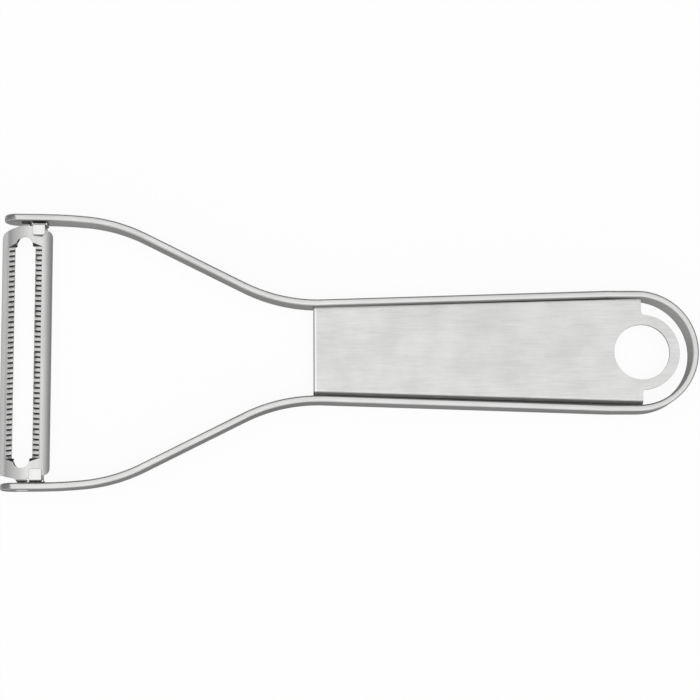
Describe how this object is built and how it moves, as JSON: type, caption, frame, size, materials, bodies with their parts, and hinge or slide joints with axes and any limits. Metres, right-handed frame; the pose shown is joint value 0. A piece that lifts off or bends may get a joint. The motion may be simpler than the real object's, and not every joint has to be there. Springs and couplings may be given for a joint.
{
  "type": "vegetable peeler",
  "caption": "All-steel wide vegetable peeler with a swivelling serrated slotted blade across a bent bar yoke, a flat handle plate and a hanging ring.",
  "frame": {"origin": "centre of the box round the peeler, on the plane that its rear edge lies on", "axes": "+X from the blade to the hanging ring, +Y across the head, +Z out of the front face that the picture shows"},
  "size_m": [0.1683, 0.0666, 0.0064],
  "materials": {
    "bar_steel": "polished",
    "plate_steel": "fine lengthwise satin grain",
    "blade_steel": "polished, ground on the toothed edges",
    "pin_steel": "polished",
    "clip_steel": "polished"
  },
  "bodies": {
    "frame": {"frame_bar": "bar_steel", "handle_plate": "plate_steel", "pivot_pin_right": "pin_steel", "pivot_pin_left": "pin_steel", "stop_clip_right": "clip_steel", "stop_clip_left": "clip_steel"},
    "blade": {"blade": "blade_steel"}
  },
  "joints": [
    {"name": "blade_swivel", "type": "hinge", "parent": "frame", "child": "blade", "pos_m": [-0.07855, 0, 0.0032], "axis": [0, -1, 0], "range_deg": [-22, 5]}
  ]
}
